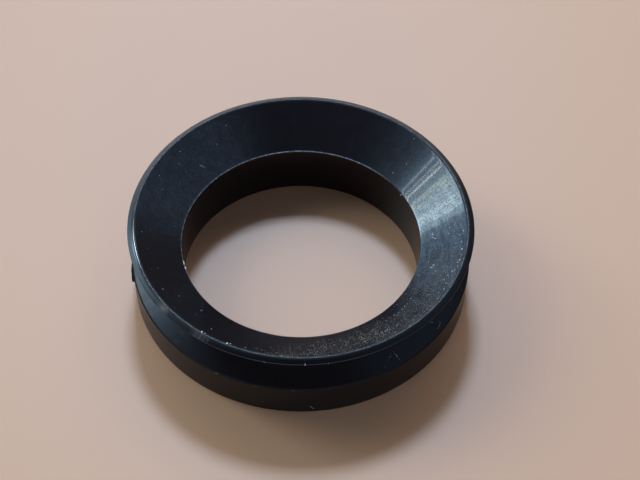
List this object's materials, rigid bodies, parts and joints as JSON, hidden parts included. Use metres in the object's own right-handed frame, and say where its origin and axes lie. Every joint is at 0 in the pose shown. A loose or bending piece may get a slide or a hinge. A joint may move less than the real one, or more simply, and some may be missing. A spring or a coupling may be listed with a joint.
{
  "type": "v-ring seal",
  "caption": "Moulded rubber V-ring shaft seal: a stout ring body with a flat back and a thin conical lip above a deep V groove.",
  "frame": {"origin": "centre of the ring on its flat back face, which is the face it rests on", "axes": "+Z along the shaft's axis, from the flat back towards the lip; the torn flash lies just past -X, towards -Y"},
  "size_m": [0.0288, 0.0288, 0.0072],
  "materials": {
    "seal_rubber": "satin black nitrile rubber, smooth from the mould, with a soft sheen, handling smears and a little pale dust"
  },
  "bodies": {
    "root": {"seal_ring": "seal_rubber"}
  },
  "joints": []
}
